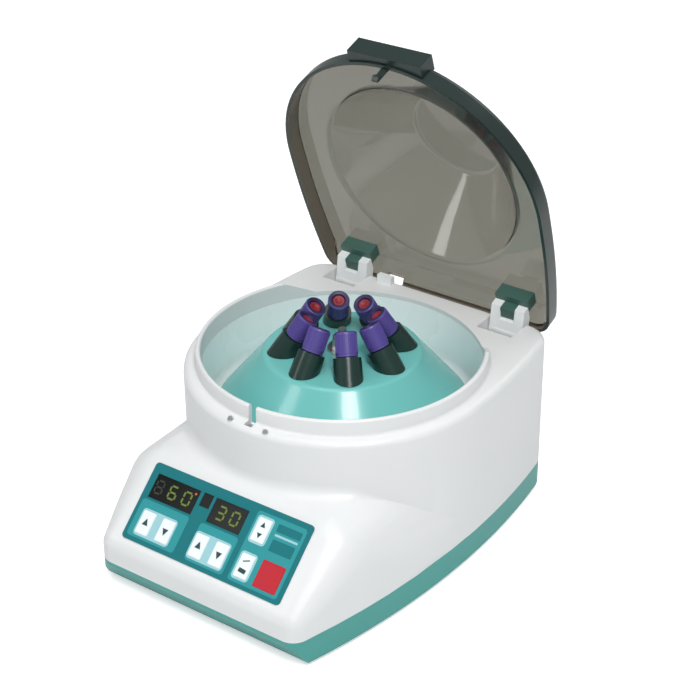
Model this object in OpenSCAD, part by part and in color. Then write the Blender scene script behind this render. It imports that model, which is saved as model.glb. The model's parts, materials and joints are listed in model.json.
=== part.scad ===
// Small bench centrifuge with an eight place angle rotor, its smoked lid standing open.
// Millimetres, +Z up. The origin is on the bench, below the middle of the whole model's
// outline. The shapes are worked out round the rotor axis and then moved back by axis_y.

/* [Body] */
// Height of the gap that the feet leave under the base
foot_h = 4; // [3:0.5:6]
// Height of the base tub
tub_h = 20; // [17:0.5:23]
// Height of the ledge round the bowl, above the bench
ledge_z = 131; // [128:0.5:134]
// Height of the raised lip above the ledge
lip_h = 12; // [10:0.5:12.5]
// Half width of the body where it is widest, which is also the drum's radius
half_w = 115.5; // [114.5:0.25:118]
// Radius of each bowed side wall
side_r = 608; // [560:4:700]
// Distance from the rotor axis back to where the sides are widest
side_y = 11; // [7:1:14]
// Distance from the rotor axis back to the rear wall
rear_y = 120; // [119:0.5:123]
// Radius of the rear corners in plan
rear_corner = 22; // [18:1:25]
// Distance from the rotor axis forward to the nose of the console
nose_y = 178; // [176:0.5:182]
// Distance by which the front of the tub is drawn in at its foot
undercut = 11; // [6:1:14]
// Wall thickness of the housing and the tub
wall = 3; // [2.6:0.1:3.3]
// Radius of the edge of the ledge
ledge_edge = 5; // [4.5:0.25:5.5]

/* [Console] */
// Slope of the key panel from level
panel_tilt = 42; // [40:0.5:44]
// Height of the shelf between drum and panel, above the bench
shelf_z = 88; // [86:0.5:90]
// Distance from the rotor axis forward to the top of the slope
crease_y = 125; // [124:0.5:127]
// Radius of the long side edges of the console
console_fillet = 30; // [24:1:31]
// Radius of the side edges of the shelf, where they run into the drum
shelf_fillet = 50; // [44:1:54]
// Radius of the nose and of the front corners
nose_fillet = 13; // [11:0.5:14]
// Width of the key label
label_w = 138; // [136:0.5:140]
// Length of the key label down the slope
label_l = 58; // [57:0.5:59]
// Thickness of the key label
label_t = 0.8; // [0.6:0.1:1]
// Distance from the top of the slope down to the label
label_gap = 5; // [4:0.25:6]
// Height of the keys above the panel
key_rise = 1.4; // [1.2:0.1:1.8]
// Width of an arrow key
key_w = 11; // [10:0.25:12]
// Length of an arrow key down the slope
key_l = 17; // [16:0.25:18]
// Side of the square stop key
stop_w = 19; // [18:0.25:20]

/* [Bowl and rotor] */
// Inner radius of the bowl and of its lip
bowl_r = 102.6; // [101.5:0.1:103]
// Thickness of the lip
lip_t = 3.7; // [3.2:0.1:4]
// Wall of the bowl liner
liner_t = 1.8; // [1.4:0.1:2]
// Height of the bowl floor above the bench
floor_z = 73; // [71:0.5:75]
// Radius where the bowl wall turns into its floor
bowl_round = 20; // [16:1:22]
// Radius of the rotor at its rim
rotor_r = 94; // [90:0.5:96]
// Height of the flat top of the rotor above the bench
rotor_top_z = 138; // [137:0.5:139]
// Radius of the flat top of the rotor
rotor_top_r = 57; // [55:0.5:59]
// Height of the slope of the rotor
rotor_slope_h = 45; // [42:0.5:47]
// Height of the upright rim of the rotor
rotor_rim_h = 8; // [5:0.5:9]
// Number of tube places
places = 8; // [6:1:8]
// Angle of the tubes from upright
tube_tilt = 33; // [31:0.5:35]
// Distance of each cap's middle from the rotor axis
cap_ring_r = 29; // [28.5:0.5:32]
// Height of each cap's middle above the bench
cap_mid_z = 158; // [157:0.5:159]
// Radius of a tube
tube_r = 6.5; // [6:0.1:6.7]
// Length of a tube with its cap
tube_l = 80; // [76:0.5:82]
// Radius of a tube cap
cap_r = 8; // [7.5:0.1:8.4]
// Length of a tube cap
cap_l = 18; // [16:0.5:19]
// Radius of the shank of a tube sleeve
sleeve_r = 8.5; // [8.2:0.1:8.8]
// Radius of the collar of a sleeve at its mouth
collar_r = 10; // [9.6:0.1:10.4]
// Radius of the motor shaft
shaft_r = 5; // [4:0.25:6]
// Turn of the rotor from the front
rotor_turn = -4; // [-10:1:10]

/* [Lid] */
// Opening angle that the lid stands at
lid_open = 71.2; // [68:0.2:75]
// Height of the hinge axis above the bench
hinge_z = 122; // [121.5:0.25:122.5]
// Distance from the rotor axis back to the hinge axis
hinge_y = 115; // [114.5:0.25:115.5]
// Set-in of the lid's edge from the edge of the ledge
lid_inset = 5.6; // [5:0.1:6]
// Wall of the lid
lid_t = 2.5; // [2:0.1:2.8]
// Height of the lid's skirt
skirt_h = 15.5; // [15.2:0.1:17]
// Radius of the upper edge of the skirt
lid_edge = 5; // [4:0.25:6]
// Distance from the rotor axis back to the fold of the lid
fold_y = 102; // [100:0.5:104]
// Fall of the lid from the fold to its rear edge
fold_drop = 11; // [9:0.5:12]
// Distance from the rotor axis back to the middle of the dome
dome_y = 3.5; // [2:0.5:5]
// Radius of the dome at its foot
dome_r = 82.2; // [79:0.2:83]
// Radius of the dome at its top
dome_top_r = 41; // [38:0.5:44]
// Height of the dome above the lid plate
dome_h = 57; // [52:0.5:60]
// Radius of the dome's upper edge
dome_edge = 8; // [5:0.5:9]
// Radius of the hollow round the dome's foot
dome_foot = 4; // [3:0.5:5]
// Half width of the handle
handle_half_w = 30.4; // [26:0.4:34]
// Distance that the handle stands out from the skirt
handle_out = 5; // [4:0.25:6]
// Distance from the middle of the lid to each hinge arm
arm_x = 71; // [70:0.5:72]
// Width of a hinge arm
arm_w = 28; // [26:0.5:29]
// Radius of the hinge pins
pin_r = 2.5; // [2:0.1:2.8]

/* [Hidden] */

// Clearances: faces that lie against each other, running fits, and pieces slid into each other
seat = 0.3;
run = 0.05;
slip = 0.25;
eps = 0.01;

split_z = foot_h + tub_h;
lip_z = ledge_z + lip_h;
side_cx = half_w - side_r;
nose_z = shelf_z - (nose_y - crease_y) * tan(panel_tilt);

// Lid in its shut place, from which it is turned open
lid_rim_z = ledge_z + seat;
plate_z = lid_rim_z + skirt_h;
lid_back = rear_y - 2;
fold_slope = atan(fold_drop / (lid_back - fold_y));
dome_lean = atan((dome_r - dome_top_r) / dome_h);
dome_z = plate_z + dome_h;

// Rearmost reach of the open lid, which sets where the origin lies
crown_z = dome_z - dome_edge;
crown_r = dome_r - (dome_h - dome_edge) * tan(dome_lean) - dome_edge / cos(dome_lean);
lid_reach = hinge_y + cos(lid_open) * (dome_y + crown_r - hinge_y)
  + sin(lid_open) * (crown_z - hinge_z) + dome_edge;
axis_y = (nose_y - lid_reach) / 2;

// Latch at the front of the bowl
latch_half_w = 3.2;
hook_in = bowl_r + liner_t + 0.6;
hook_t = 3.2;
hook_notch = 1.9;
hook_half_w = 2.5;
hook_foot_z = ledge_z - 12;
lever_t = 1.5;
lever_y = half_w - wall - 0.8;
magnet_h = 12.2;
lever_pivot_z = ledge_z - 39;
pivot_in = 2.2;
screw_y = half_w - 4;

// Hinge wells
well_half_w = arm_w / 2 + 1;
well_front = 93.5;
well_floor = hinge_z - 9;
well_wall = 2;

// Tubes: every length runs down the tube from the middle of its cap
sleeve_top = cap_l / 2 + 0.5;
sleeve_end = tube_l - cap_l / 2 + 5;
collar_spread = 1.5;

// Drive
motor_r = 35;
motor_h = 44;
plate_t = 3;
motor_plate_z = floor_z - liner_t - 10;
mount_ring = 56;
mount_h = 9;
mount_r = 8;
post_r = 9;

// Screws that hold the tub to the housing: each pair's place along the body
boss_r = 4.5;
boss_in = 7;
boss_ys = [-150, -45, 92];
screw_r = 1.5;

// Panel layout, from the middle of the label: x to the right, y up the slope
upper_y = 12.6;
lower_y = -14;
speed_x = -46;
time_x = 1.5;
side_x0 = 32.5;
stop_x = 53.4;
key_step = 8.8;
plug_t = 1.6;
digit_h = 10.5;
digit_w = 6;

function arc(cx, cy, r, a0, a1, n, first = 0) =
  [for (i = [first:n]) let (a = a0 + (a1 - a0) * i / n) [cx + r * cos(a), cy + r * sin(a)]];

// The x of the bowed side at a given y, set in by d
function side_at(y, d) = side_cx + sqrt(pow(side_r - d, 2) - pow(y - side_y, 2));

function both_sides(half) =
  concat(half, [for (i = [len(half) - 1:-1:0]) [-half[i][0], half[i][1]]]);

// Rear corner and the side behind angle a0, set in by d, ending on the line y = back - d
function rear_half(d, back, a0, n) =
  let (r = rear_corner - d, cy = back - rear_corner, cx = side_at(cy, d + r),
       a1 = atan2(cy - side_y, cx - side_cx))
  concat(arc(side_cx, side_y, side_r - d, a0, a1, n), arc(cx, cy, r, a1, 90, 6, 1));

// Plan of the tub and console
function low_outline(d) =
  let (r = nose_fillet - d, cy = nose_fillet - nose_y, cx = side_at(cy, nose_fillet),
       a = atan2(cy - side_y, cx - side_cx))
  both_sides(concat(arc(cx, cy, r, -90, a, 5), rear_half(d, rear_y, a + 0.5, 20)));

// Plan of the drum and the deck behind it
function top_outline(d, back = rear_y) =
  let (half = concat(arc(0, 0, half_w - d, -90, 0, 24, 1), rear_half(d, back, 0, 8)))
  concat([[0, d - half_w]], both_sides(half));

function slope_z(y) = shelf_z + (y + crease_y) * tan(panel_tilt);

// A sphere of radius r, tangent to the side wall and to the slope or the shelf above it
function on_slope(y, r) = [side_at(y, r), y, slope_z(y) - r / cos(panel_tilt), r];
function on_shelf(y, r) = [side_at(y, r), y, shelf_z - r, r];

module in_place() translate([0, axis_y, 0]) children();

module both() {
  children();
  mirror([1, 0, 0]) children();
}

// A profile of y and z, drawn out along X over the whole width w
module across(w) translate([-w / 2, 0, 0]) rotate([90, 0, 90]) linear_extrude(w) children();

module lid_pose()
  translate([0, hinge_y, hinge_z]) rotate([-lid_open, 0, 0]) translate([0, -hinge_y, -hinge_z])
  children();

module on_panel()
  translate([0, -crease_y, shelf_z]) rotate([panel_tilt, 0, 0])
  translate([0, -label_gap - label_l / 2, 0]) children();

module at_places()
  for (i = [0:places - 1])
    rotate([0, 0, rotor_turn + i * 360 / places]) translate([0, -cap_ring_r, cap_mid_z])
    rotate([180 - tube_tilt, 0, 0]) children();

module slab(z, h, points) translate([0, 0, z]) linear_extrude(h) polygon(points);

module rounded_plate(w, l, r, h) linear_extrude(h) rounded_rect(w, l, r);

module rounded_rect(w, l, r) {
  square([w - 2 * r, l], center = true);
  square([w, l - 2 * r], center = true);
  for (x = [-1, 1], y = [-1, 1]) translate([x * (w / 2 - r), y * (l / 2 - r)]) circle(r, $fn = 24);
}

// A post with a ball-like top, drawn as discs, one of which touches the slope of the panel
module post(b, d, z0, facets) {
  r = b[3] - d;
  translate([b[0], b[1], 0]) {
    translate([0, 0, z0]) cylinder(b[2] - z0, r = r, $fn = facets);
    for (t = [78, 66, 54, panel_tilt, 31, 21])
      translate([0, 0, b[2] + r * cos(t) - eps]) cylinder(eps, r = r * sin(t), $fn = facets);
    translate([0, 0, b[2] + r - eps]) cylinder(eps, r = r * sin(10), $fn = facets);
  }
}

// Console: posts with growing radius along its edges, from the nose back into the drum
module console_form(d, z0, facets) {
  nose = nose_fillet - nose_y;
  crease = console_fillet * tan(panel_tilt / 2) - crease_y;
  mid = (nose + crease) / 2;
  posts = [
    on_slope(nose, nose_fillet), on_slope(mid, (nose_fillet + console_fillet) / 2),
    on_shelf(crease, console_fillet), on_shelf(-88, shelf_fillet - 4), on_shelf(-58, shelf_fillet),
    on_shelf(-28, shelf_fillet), on_shelf(-3, shelf_fillet)
  ];
  hull() for (b = posts) both() post(b, d, z0, facets);
}

// Drum and deck, with the rounded edge of the ledge
module drum_form()
  hull() {
    slab(split_z, ledge_z - ledge_edge - split_z, top_outline(0));
    for (k = [1:4]) let (a = k * 22.5)
      slab(ledge_z - ledge_edge + ledge_edge * sin(a) - eps, eps, top_outline(ledge_edge * (1 - cos(a))));
  }

module lip_ring() {
  rotate_extrude($fn = 180) {
    translate([bowl_r, ledge_z - 1]) square([lip_t, lip_h + 1 - lip_t / 2]);
    translate([bowl_r + lip_t / 2, lip_z - lip_t / 2]) circle(lip_t / 2, $fn = 32);
    difference() {
      translate([bowl_r + lip_t - 1, ledge_z - 1]) square([3, 3]);
      translate([bowl_r + lip_t + 2, ledge_z + 2]) circle(2, $fn = 32);
    }
  }
}

// The space over the ledge behind the lip, where the lip runs down to the deck
module behind_lip()
  across(2 * half_w + 20)
    polygon([[46, lip_z + 1], [70, ledge_z], [rear_y + 20, ledge_z], [rear_y + 20, lip_z + 40], [46, lip_z + 40]]);

module side_bosses(z0, z1, r)
  for (y = boss_ys) both() translate([side_at(y, boss_in), y, z0]) cylinder(z1 - z0, r = r, $fn = 24);

module housing_shell() {
  difference() {
    union() {
      console_form(0, split_z, 32);
      drum_form();
    }
    console_form(wall, split_z - 1, 20);
    slab(split_z - 1, ledge_z - wall - split_z + 1, top_outline(wall));
  }
}

module hinge_well_block()
  both() translate([arm_x - well_half_w - well_wall, well_front - well_wall, well_floor - well_wall])
    cube([2 * (well_half_w + well_wall), rear_y - well_front, ledge_z - well_floor]);

module hinge_well()
  both() translate([arm_x - well_half_w, well_front, well_floor])
    cube([2 * well_half_w, rear_y + 20 - well_front, ledge_z + 5 - well_floor]);

module rear_vents()
  for (i = [0:8]) translate([-74 + i * 8, rear_y - wall - 1, split_z + 16]) cube([3.4, wall + 2, 30]);

module latch_slot()
  translate([-latch_half_w, -lever_y - 0.3, ledge_z - wall - 1])
    cube([2 * latch_half_w, lever_y - bowl_r + 1, lip_h + wall + 5]);

module ledge_screw_holes(r, h)
  for (x = [-15, 15]) translate([x, -screw_y, ledge_z - h]) cylinder(h + 1, r = r, $fn = 24);

module housing() in_place() color("white") {
  difference() {
    union() {
      housing_shell();
      difference() {
        lip_ring();
        behind_lip();
      }
      intersection() {
        side_bosses(split_z, split_z + 24, boss_r);
        slab(split_z, 30, low_outline(wall / 2));
      }
      intersection() {
        hinge_well_block();
        slab(split_z, ledge_z - split_z - 1, top_outline(wall / 2));
      }
    }
    translate([0, 0, ledge_z - wall - 1]) cylinder(lip_h + wall + 5, r = bowl_r, $fn = 180);
    hinge_well();
    both() translate([arm_x - well_half_w - well_wall - 1, hinge_y, hinge_z]) rotate([0, 90, 0])
      cylinder(2 * (well_half_w + well_wall + 1), r = pin_r + run, $fn = 32);
    latch_slot();
    ledge_screw_holes(1.6, wall + 1);
    side_bosses(split_z - 1, split_z + 18, screw_r + 0.1);
    on_panel() translate([0, 0, -wall * 2]) rounded_plate(label_w - 8, label_l - 8, 3, wall * 3);
    inlet_cut(slip);
    rocker_cut(slip);
    rear_vents();
  }
}

// Outer form of the tub between two heights, set in by d
module tub_form(d, z0, h) intersection() {
  slab(z0, h, low_outline(d));
  across(2 * half_w + 20)
    polygon([[undercut + d - nose_y, foot_h], [d - nose_y, split_z - 3], [d - nose_y, split_z + 5],
             [rear_y + 5, split_z + 5], [rear_y + 5, foot_h]]);
}

module base_tub() in_place() color("cadetblue") {
  difference() {
    union() {
      difference() {
        tub_form(0, foot_h, tub_h);
        tub_form(wall, foot_h + wall, tub_h);
      }
      intersection() {
        side_bosses(foot_h, split_z, boss_r);
        tub_form(wall / 2, foot_h, tub_h);
      }
      for (a = [30, 150, 270]) rotate([0, 0, a]) translate([mount_ring, 0, foot_h])
        cylinder(motor_plate_z - mount_h - foot_h - 6, r = post_r, $fn = 32);
    }
    side_bosses(foot_h - 1, split_z + 1, screw_r + 0.1);
    side_bosses(foot_h - 1, foot_h + 3, 3.3);
    at_feet() translate([0, 0, foot_h - 1]) cylinder(wall + 2, r = 3.1, $fn = 24);
    for (i = [-4:4]) translate([i * 9 - 1.6, 40, foot_h - 1]) cube([3.2, 34, wall + 2]);
  }
}

module at_feet()
  for (p = [[74, -138], [84, 84]]) both() translate([p[0], p[1], 0]) children();

module rubber_feet() in_place() color("dimgray") at_feet() {
  cylinder(foot_h, r1 = 8, r2 = 9.5, $fn = 40);
  translate([0, 0, foot_h - eps]) cylinder(wall, r = 2.9, $fn = 24);
}

module base_screws() in_place() color("silver") {
  side_bosses(foot_h + 0.6, foot_h + 2.9, 3.1);
  side_bosses(foot_h + 2.8, split_z + 16, screw_r);
}

module bowl_liner() in_place() color("gainsboro") {
  top = ledge_z - wall - seat;
  outer = bowl_r + liner_t;
  difference() {
    rotate_extrude($fn = 180) {
      translate([bowl_r, floor_z + bowl_round]) square([liner_t, top - floor_z - bowl_round]);
      translate([bowl_r, top - 2]) square([liner_t + 1.3, 2]);
      translate([bowl_r - bowl_round, floor_z + bowl_round]) intersection() {
        difference() {
          circle(bowl_round + liner_t, $fn = 96);
          circle(bowl_round, $fn = 96);
        }
        translate([0, -bowl_round - liner_t]) square(bowl_round + liner_t);
      }
      translate([shaft_r + 9, floor_z - liner_t]) square([bowl_r - bowl_round - shaft_r - 9, liner_t]);
      translate([shaft_r + 9, floor_z - liner_t]) square([liner_t, 6]);
    }
    translate([-latch_half_w - 1, -outer - 5, top - 3]) cube([2 * latch_half_w + 2, 4.8, 5]);
  }
}

module shaft_seal() in_place() color("black")
  rotate_extrude($fn = 64) {
    translate([shaft_r + 0.4, floor_z - 5]) square([2, 12]);
    translate([shaft_r + 0.4, floor_z - 0.5]) square([9 - 0.4 - seat, 2.5]);
    translate([shaft_r + 7, motor_plate_z + plate_t + seat])
      square([1.7, floor_z - motor_plate_z - plate_t]);
  }

module motor_plate() in_place() color("silver") difference() {
  translate([0, 0, motor_plate_z]) cylinder(plate_t, r = mount_ring + 11, $fn = 96);
  translate([0, 0, motor_plate_z - 1]) cylinder(plate_t + 2, r = shaft_r + 5, $fn = 48);
  for (i = [0:3]) rotate([0, 0, i * 90]) translate([24, 0, motor_plate_z - 1])
    cylinder(plate_t + 2, r = 2, $fn = 24);
}

module vibration_mounts() in_place() color("black")
  for (a = [30, 150, 270]) rotate([0, 0, a])
    translate([mount_ring, 0, motor_plate_z - mount_h - 6]) {
      cylinder(mount_h + 6, r = mount_r, $fn = 32);
    }

module motor_can() in_place() color("darkgray") difference() {
  translate([0, 0, motor_plate_z - motor_h]) cylinder(motor_h, r = motor_r, $fn = 96);
  translate([0, 0, motor_plate_z - motor_h + 4]) cylinder(motor_h, r = 11.3, $fn = 64);
}

module motor_bearings() in_place() color("silver")
  for (z = [motor_plate_z - motor_h + 4.3, motor_plate_z - 8]) translate([0, 0, z]) difference() {
    cylinder(7, r = 11, $fn = 64);
    translate([0, 0, -1]) cylinder(9, r = shaft_r + run, $fn = 48);
  }

module motor_shaft() in_place() color("lightgray") {
  z0 = motor_plate_z - motor_h + 4.3;
  translate([0, 0, z0]) cylinder(rotor_top_z + 11 - z0, r = shaft_r, $fn = 48);
  translate([0, 0, rotor_top_z + 11]) cylinder(6, r1 = 3.4, r2 = 2.8, $fn = 32);
}

// Profile of the rotor from its top to its rim, grown by g
function rotor_profile(g) =
  let (z0 = rotor_top_z - rotor_slope_h, lean = atan((rotor_r - rotor_top_r) / rotor_slope_h), r = 5,
       cz = rotor_top_z - r, cx = rotor_top_r + r * tan(lean) - r / cos(lean) + 0)
  concat([[0, rotor_top_z + g]], arc(cx, cz, r + g, 90, lean, 5),
         arc(rotor_r - 3, z0 - 1, 3 + g, lean, 0, 3), [[rotor_r + g, z0 - rotor_rim_h - g]]);

module rotor_body() in_place() color("paleturquoise") {
  z0 = rotor_top_z - rotor_slope_h - rotor_rim_h;
  difference() {
    rotate_extrude($fn = 180)
      polygon(concat(rotor_profile(0), [[rotor_r - 5, z0], [rotor_r - 7, z0 + 8], [24, rotor_top_z - 20],
                                        [16, rotor_top_z - 22], [16, z0 + 9], [0, z0 + 9]]));
    translate([0, 0, z0]) cylinder(rotor_slope_h + rotor_rim_h + 5, r = shaft_r + run, $fn = 48);
    at_places() translate([0, 0, -20]) cylinder(sleeve_end + 40, r = sleeve_r + slip, $fn = 48);
  }
}

module rotor_sleeves() in_place() color("darkslategray")
  difference() {
    at_places() {
      difference() {
        union() {
          translate([0, 0, sleeve_top]) cylinder(44 - sleeve_top, r1 = collar_r, r2 = collar_r + collar_spread, $fn = 48);
          translate([0, 0, 30]) cylinder(sleeve_end - 30, r = sleeve_r, $fn = 48);
        }
        translate([0, 0, sleeve_top - 1]) cylinder(sleeve_end - sleeve_top - 1.5, r = tube_r + 0.4, $fn = 48);
      }
    }
    difference() {
      rotate_extrude($fn = 180) polygon(concat(rotor_profile(seat), [[0, rotor_top_z - rotor_slope_h - rotor_rim_h]]));
      at_places() cylinder(sleeve_end + 5, r = sleeve_r + eps, $fn = 48);
    }
  }

module sample_tubes() in_place() color("lightyellow") at_places() difference() {
  union() {
    translate([0, 0, 4 - cap_l / 2]) cylinder(tube_l - tube_r - 4, r = tube_r, $fn = 40);
    translate([0, 0, tube_l - cap_l / 2 - tube_r]) sphere(tube_r, $fn = 40);
  }
  translate([0, 0, 3 - cap_l / 2]) cylinder(12, r = tube_r - 1, $fn = 40);
}

module tube_caps() in_place() color("slateblue") at_places() difference() {
  union() {
    translate([0, 0, 1 - cap_l / 2]) cylinder(cap_l - 1, r = cap_r, $fn = 40);
    translate([0, 0, -cap_l / 2]) cylinder(1.01, r1 = cap_r - 1, r2 = cap_r, $fn = 40);
  }
  translate([0, 0, 3.4 - cap_l / 2]) cylinder(cap_l, r = tube_r + 0.2, $fn = 40);
  translate([0, 0, -cap_l / 2 - 1]) cylinder(6, r = 4.6, $fn = 32);
}

module tube_stoppers() in_place() color("firebrick") at_places() {
  translate([0, 0, 1.6 - cap_l / 2]) cylinder(4, r = 4.4, $fn = 32);
  translate([0, 0, 4.3 - cap_l / 2]) cylinder(8, r = tube_r - 1.2, $fn = 32);
}

module rotor_nut() in_place() color("silver") difference() {
  union() {
    translate([0, 0, rotor_top_z + seat]) cylinder(1.6, r = 11, $fn = 48);
    translate([0, 0, rotor_top_z + 1.8]) cylinder(8, r = 8, $fn = 6);
    translate([0, 0, rotor_top_z + 9.7]) cylinder(1.2, r1 = 6.6, r2 = 5.8, $fn = 48);
  }
  translate([0, 0, rotor_top_z]) cylinder(20, r = shaft_r + run, $fn = 48);
}

// Side view of the shut lid, set in by d: level in front of the fold, falling behind it
module lid_side(d) across(2 * half_w)
  polygon([[-half_w - 10, lid_rim_z - 2], [-half_w - 10, plate_z - d], [fold_y - d * tan(fold_slope / 2), plate_z - d],
           [lid_back + 5, plate_z - d / cos(fold_slope) - (lid_back + 5 - fold_y) * tan(fold_slope)],
           [lid_back + 5, lid_rim_z - 2]]);

// Plate and skirt of the shut lid with their rounded upper edge
module lid_plate() intersection() {
  hull() {
    slab(lid_rim_z, skirt_h - lid_edge, top_outline(lid_inset, lid_back + lid_inset));
    for (k = [1:4]) let (a = k * 22.5)
      slab(plate_z - lid_edge + lid_edge * sin(a) - eps, eps,
           top_outline(lid_inset + lid_edge * (1 - cos(a)), lid_back + lid_inset));
  }
  lid_side(0);
}

// Half section of the dome, set in by d
function dome_section(d) =
  let (foot_r = dome_r - dome_foot * tan(dome_lean) + dome_foot / cos(dome_lean), foot_z = plate_z + dome_foot,
       low = plate_z - d - 1)
  concat([[0, low], [foot_r, low]], arc(foot_r, foot_z, dome_foot + d, 270, 180 + dome_lean, 5),
         arc(crown_r, crown_z, dome_edge - d, dome_lean, 90, 6), [[0, dome_z - d]]);

module lid_core(z0, h) slab(z0, h, top_outline(lid_inset + lid_t, lid_back + lid_inset));

module sensor_gap()
  translate([-46.8, hinge_y, hinge_z]) rotate([0, 90, 0]) cylinder(14.6, r = 17, $fn = 64);

// Smoked plate inside the rim, with the dome
module lid_shell() in_place() lid_pose() color("dimgray", 0.6) difference() {
  union() {
    intersection() {
      lid_plate();
      lid_core(lid_rim_z - 1, skirt_h + 2);
    }
    translate([0, dome_y, 0]) rotate_extrude($fn = 160) polygon(dome_section(0));
  }
  lid_side(lid_t);
  translate([0, dome_y, 0]) rotate_extrude($fn = 160) polygon(dome_section(lid_t));
  handle_form(slip);
  sensor_gap();
}

module lid_rim() in_place() lid_pose() color("darkslategray") difference() {
  lid_plate();
  lid_core(lid_rim_z - 1, skirt_h + 2);
  handle_form(slip);
  sensor_gap();
}

// Handle bar across the front of the skirt, grown by g
module handle_form(g)
  difference() {
    translate([-handle_half_w - g, lid_inset - half_w - handle_out - g, lid_rim_z + 1.5 - g])
      cube([2 * (handle_half_w + g), handle_out + 8 + 2 * g, skirt_h + 2 * g]);
    translate([0, 0, lid_rim_z - 5])
      cylinder(skirt_h + 12, r = bowl_r + lip_t + 0.5 - g, $fn = 180);
  }

module lid_handle() in_place() lid_pose() color("darkslategray") difference() {
  handle_form(0);
  translate([-hook_half_w - slip, -hook_in - hook_t - 2 - slip, lid_rim_z])
    cube([2 * (hook_half_w + slip), hook_t + 5, skirt_h + 5]);
}

module lid_hook() in_place() lid_pose() color("black") across(2 * hook_half_w) {
  top = plate_z - lid_t - seat;
  front = -hook_in - hook_t;
  polygon([[-hook_in, top], [front - 2, top], [front - 2, top - 3], [front, top - 5],
           [front + hook_notch, hook_foot_z + 8], [front + hook_notch, hook_foot_z + 4], [front, hook_foot_z + 4],
           [front, hook_foot_z + 2], [front + 1.6, hook_foot_z], [-hook_in, hook_foot_z]]);
}

module hinge_arms() in_place() lid_pose() color("whitesmoke") both() difference() {
  translate([arm_x - arm_w / 2, 0, 0]) rotate([90, 0, 90]) linear_extrude(arm_w) {
    translate([hinge_y, hinge_z]) circle(5, $fn = 40);
    polygon([[hinge_y - 4, hinge_z - 3], [hinge_y + 3.2, hinge_z + 3.8], [hinge_y - 9, hinge_z + 11],
             [hinge_y - 19.5, hinge_z + 11], [hinge_y - 19.5, hinge_z + 5]]);
  }
  translate([arm_x - arm_w / 2 - 1, hinge_y, hinge_z]) rotate([0, 90, 0])
    cylinder(arm_w + 2, r = pin_r + run, $fn = 32);
  translate([arm_x - 6, hinge_y - 25, hinge_z]) cube([12, 15, 20]);
}

module hinge_clamps() in_place() lid_pose() color("seagreen") both() {
  translate([arm_x - arm_w / 2, hinge_y - 25, hinge_z + 11])
    cube([arm_w, 10, plate_z - lid_t - hinge_z - 11]);
  translate([arm_x - 6 + slip, hinge_y - 19.3, hinge_z + 3]) cube([12 - 2 * slip, 9, 9]);
}

module hinge_pins() in_place() color("silver") both()
  translate([arm_x - well_half_w - well_wall + 0.2, hinge_y, hinge_z]) rotate([0, 90, 0])
    cylinder(2 * (well_half_w + well_wall) - 0.4, r = pin_r, $fn = 32);

module lid_sensor_tab() in_place() color("white") difference() {
  translate([-46, hinge_y - 3.5, ledge_z]) cube([13, 5, 6]);
  translate([-47, hinge_y - 4, ledge_z + 6]) rotate([45, 0, 0]) cube([15, 2, 2]);
}

module latch_bracket() in_place() color("silver") {
  for (x = [-5.2, 3.2]) translate([x, -lever_y, lever_pivot_z - 4]) difference() {
    translate([0, seat - 0.8, 0]) cube([2, 7.5, 10]);
    translate([-1, pivot_in, 4]) rotate([0, 90, 0]) cylinder(4, r = 1.55, $fn = 24);
  }
  translate([-5.2, 5 - lever_y, lever_pivot_z - 4]) cube([10.4, 2, 10]);
}

module latch_pin() in_place() color("lightgray")
  translate([-5.2, pivot_in - lever_y, lever_pivot_z]) rotate([0, 90, 0]) cylinder(10.4, r = 1.5, $fn = 24);

module latch_lever() in_place() color("gray") difference() {
  union() {
    across(2 * hook_half_w) {
      translate([-lever_y, lever_pivot_z - 12]) square([lever_t, hook_foot_z + 7 - lever_pivot_z + 12]);
      translate([-lever_y, hook_foot_z + 4.6]) square([lever_y - hook_in - hook_t - seat, 2.4]);
      translate([pivot_in - lever_y, lever_pivot_z]) circle(2.3, $fn = 32);
    }
  }
  translate([-4, pivot_in - lever_y, lever_pivot_z]) rotate([0, 90, 0]) cylinder(8, r = 1.55, $fn = 24);
}

module latch_magnet() in_place() color("darkgoldenrod")
  translate([-9, -lever_y - 11.3, shelf_z - wall - seat - 14]) cube([18, 10.3, magnet_h]);

module ledge_screws() in_place() color("gray")
  for (x = [-15, 15]) translate([x, -screw_y, 0]) {
    translate([0, 0, ledge_z + 0.1]) difference() {
      cylinder(1.4, r1 = 2.2, r2 = 1.6, $fn = 32);
      translate([-0.4, -3, 0.9]) cube([0.8, 6, 1]);
    }
    translate([0, 0, ledge_z - wall - 0.8]) cylinder(wall + 1, r = 1.5, $fn = 24);
  }

// Windows and key holes of the panel, grown by g
module windows(g) {
  translate([-44, upper_y]) square([38 + 2 * g, 17.6 + 2 * g], center = true);
  translate([3.3, upper_y]) square([28 + 2 * g, 17.6 + 2 * g], center = true);
  translate([-17.6, upper_y + 4.2]) square([8 + 2 * g, 9.4 + 2 * g], center = true);
}

module arrow_key(g) rounded_rect(key_w + 2 * g, key_l + 2 * g, 1);
module stop_shape(g) rounded_rect(stop_w + 2 * g, stop_w + 0.6 + 2 * g, 1);

module keypad_label() in_place() color("teal") on_panel() difference() {
  rounded_plate(label_w, label_l, 3, label_t);
  translate([0, 0, -1]) linear_extrude(4) {
    windows(slip);
    for (x = [speed_x, time_x], s = [-1, 1]) translate([x + s * key_step, lower_y]) arrow_key(slip);
    for (y = [upper_y, lower_y]) translate([side_x0, y]) arrow_key(slip);
    translate([stop_x, lower_y]) stop_shape(slip);
  }
}

module display_windows() in_place() color("black") on_panel()
  translate([0, 0, -plug_t]) linear_extrude(plug_t + label_t - 0.1) windows(0);

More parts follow.
